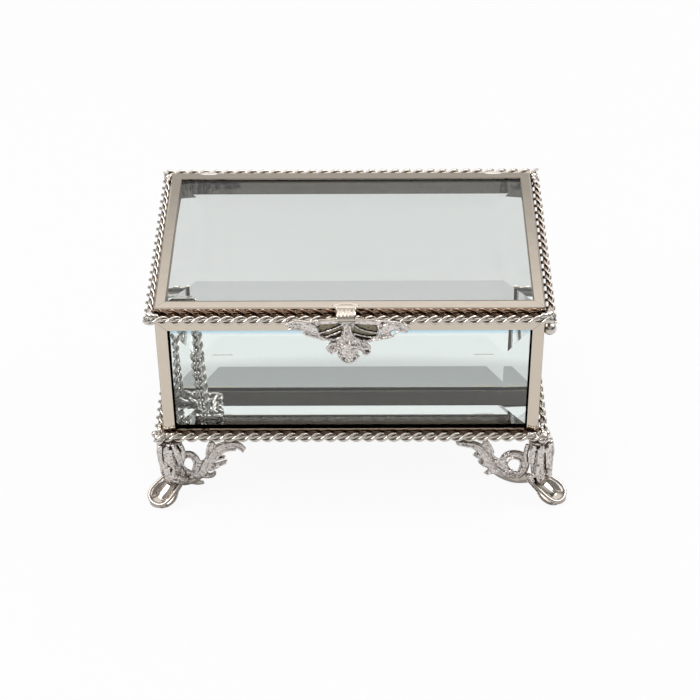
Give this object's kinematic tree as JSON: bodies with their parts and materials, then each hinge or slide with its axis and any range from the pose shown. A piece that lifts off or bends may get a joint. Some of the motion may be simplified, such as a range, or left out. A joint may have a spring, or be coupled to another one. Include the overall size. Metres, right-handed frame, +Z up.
{
  "type": "glass casket box",
  "caption": "Rectangular bevelled-glass casket with a hinged glass lid, rope-trimmed metal strips, a mirror floor, a lid stay chain and cast scroll feet.",
  "frame": {"origin": "on the table surface under the middle of the box", "axes": "+Z up, the front faces -Y, +X along the length to the right as seen from the front"},
  "size_m": [0.186, 0.126, 0.1018],
  "materials": {
    "bevelled_glass": "polished, clear with a faint green tint, bevelled edges",
    "mirror": "silvered mirror glass",
    "plated_strip": "polished plated strip with a warm champagne tint",
    "plated_rope": "bright twisted wire, dark in the grooves",
    "plated_casting": "bright cast leaf work, dark in the recesses",
    "plated_wire": "bright polished wire"
  },
  "bodies": {
    "box": {"front_pane": "bevelled_glass", "back_pane": "bevelled_glass", "left_pane": "bevelled_glass", "right_pane": "bevelled_glass", "mirror_base": "mirror", "base_plate": "plated_strip", "top_strip_front": "plated_strip", "top_strip_back": "plated_strip", "top_strip_left": "plated_strip", "top_strip_right": "plated_strip", "bottom_strip_front": "plated_strip", "bottom_strip_back": "plated_strip", "bottom_strip_left": "plated_strip", "bottom_strip_right": "plated_strip", "outer_post_front_left": "plated_strip", "outer_post_front_right": "plated_strip", "outer_post_back_left": "plated_strip", "outer_post_back_right": "plated_strip", "inner_post_front_left": "plated_strip", "inner_post_front_right": "plated_strip", "inner_post_back_left": "plated_strip", "inner_post_back_right": "plated_strip", "base_rope_front": "plated_rope", "base_rope_back": "plated_rope", "base_rope_left": "plated_rope", "base_rope_right": "plated_rope", "foot_front_left": "plated_casting", "foot_front_right": "plated_casting", "foot_back_left": "plated_casting", "foot_back_right": "plated_casting", "hinge_body_leaf_left": "plated_strip", "hinge_body_leaf_right": "plated_strip", "hinge_pin_left": "plated_strip", "hinge_pin_right": "plated_strip", "ball_stud": "plated_wire", "body_chain_eye": "plated_wire"},
    "lid": {"lid_pane": "bevelled_glass", "lid_strip_front": "plated_strip", "lid_strip_back": "plated_strip", "lid_strip_left": "plated_strip", "lid_strip_right": "plated_strip", "lid_rope_front": "plated_rope", "lid_rope_back": "plated_rope", "lid_rope_left": "plated_rope", "lid_rope_right": "plated_rope", "hinge_lid_leaf_left": "plated_strip", "hinge_lid_leaf_right": "plated_strip", "front_lift": "plated_casting", "lid_chain_eye": "plated_wire"},
    "chain_1": {"chain_strand_down": "plated_wire"},
    "chain_2": {"chain_link_across": "plated_wire"},
    "chain_3": {"chain_turn": "plated_wire"},
    "chain_4": {"chain_run_back": "plated_wire"},
    "chain_5": {"chain_strand_up": "plated_wire"}
  },
  "joints": [
    {"name": "lid_hinge", "type": "hinge", "parent": "box", "child": "lid", "pos_m": [0, 0.0522, 0.092], "axis": [-1, 0, 0], "range_deg": [0, 98.32]},
    {"name": "chain_hang", "type": "hinge", "parent": "lid", "child": "chain_1", "pos_m": [-0.0654, -0.036, 0.0912], "axis": [0.9936, 0.1019, 0.0479], "range_deg": [0, 55.49]},
    {"name": "chain_bend_1", "type": "hinge", "parent": "chain_1", "child": "chain_2", "pos_m": [-0.0626, -0.038, 0.0374], "axis": [0, 0.9993, -0.0371], "range_deg": [0, 87.03]},
    {"name": "chain_bend_2", "type": "hinge", "parent": "chain_2", "child": "chain_3", "pos_m": [-0.0577, -0.038, 0.0374], "axis": [0, 0, -1], "range_deg": [0, 90.01]},
    {"name": "chain_bend_3", "type": "hinge", "parent": "chain_3", "child": "chain_4", "pos_m": [-0.0577, -0.0282, 0.0374], "axis": [0, 0, -1], "range_deg": [0, 90.01]},
    {"name": "chain_bend_4", "type": "hinge", "parent": "chain_4", "child": "chain_5", "pos_m": [-0.0724, -0.0282, 0.0374], "axis": [0, -0.9995, -0.0306], "range_deg": [0, 90.01]}
  ],
  "couplings": [
    {"joint": "chain_hang", "follows": "lid_hinge", "ratio": 0.56432},
    {"joint": "chain_bend_1", "follows": "lid_hinge", "ratio": 0.8851},
    {"joint": "chain_bend_2", "follows": "lid_hinge", "ratio": 0.91538},
    {"joint": "chain_bend_3", "follows": "lid_hinge", "ratio": 0.91538},
    {"joint": "chain_bend_4", "follows": "lid_hinge", "ratio": 0.91538}
  ]
}
